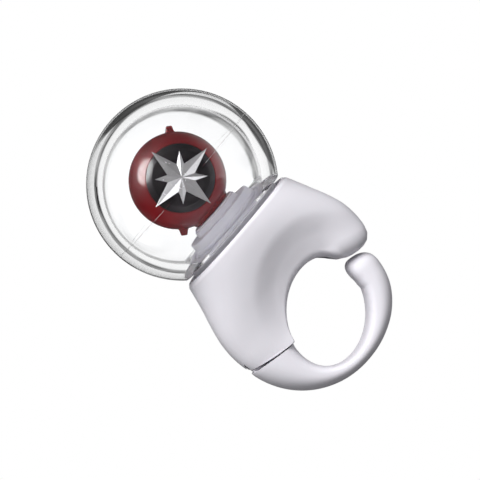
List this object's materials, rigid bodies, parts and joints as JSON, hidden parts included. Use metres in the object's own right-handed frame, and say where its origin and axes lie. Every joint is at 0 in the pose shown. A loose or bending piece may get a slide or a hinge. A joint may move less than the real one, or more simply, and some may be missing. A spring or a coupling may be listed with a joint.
{
  "type": "clicker trainer",
  "caption": "Finger-ring clicker trainer: a clear globe over a ball with a compass star is pressed to click, on a pale housing with a sprung ring arm.",
  "frame": {"origin": "where the axis of the globe crosses the middle of the finger hole", "axes": "+Z along the axis of the globe, away from the finger; +Y along the finger hole, towards the back; +X towards the beak, on the right seen from the front"},
  "size_m": [0.0425, 0.042, 0.0772],
  "materials": {
    "clear_plastic": "clear acrylic, polished",
    "frosted_plastic": "frosted",
    "red_plastic": "gloss",
    "black_plastic": "satin",
    "silver_star": "bright, faceted",
    "screw_steel": "zinc plated",
    "white_plastic": "satin",
    "spring_steel": "bright",
    "pin_steel": "ground",
    "black_rubber": "matt",
    "housing_plastic": "satin, very pale lilac grey",
    "arm_plastic": "satin, very pale lilac grey"
  },
  "bodies": {
    "housing": {"front_housing": "housing_plastic", "rear_housing": "housing_plastic", "housing_screws": "screw_steel", "hinge_pin": "pin_steel", "arm_spring": "spring_steel", "click_disc": "spring_steel", "click_seat": "white_plastic", "guide_plate": "black_plastic", "bumper_ring": "black_rubber", "return_spring": "spring_steel"},
    "dome": {"globe_upper": "clear_plastic", "globe_lower": "clear_plastic", "base_disc": "frosted_plastic", "pedestal": "frosted_plastic", "ball_front": "red_plastic", "ball_rear": "red_plastic", "badge_disc": "black_plastic", "compass_star": "silver_star", "ball_screw": "screw_steel", "plunger": "white_plastic"},
    "arm": {"finger_arm": "arm_plastic"}
  },
  "joints": [
    {"name": "dome_press", "type": "slide", "parent": "housing", "child": "dome", "axis": [0, 0, -1], "range_m": [0, 0.0009], "stiffness_N_per_m": 2000, "springref_m": -0.0005, "deforming": ["return_spring", "click_disc"]},
    {"name": "arm_hinge", "type": "hinge", "parent": "housing", "child": "arm", "pos_m": [-0.0194, 0, 0.005], "axis": [0, 1, 0], "range_deg": [0, 20], "stiffness_Nm_per_rad": 0.02, "springref_deg": -28.65}
  ]
}
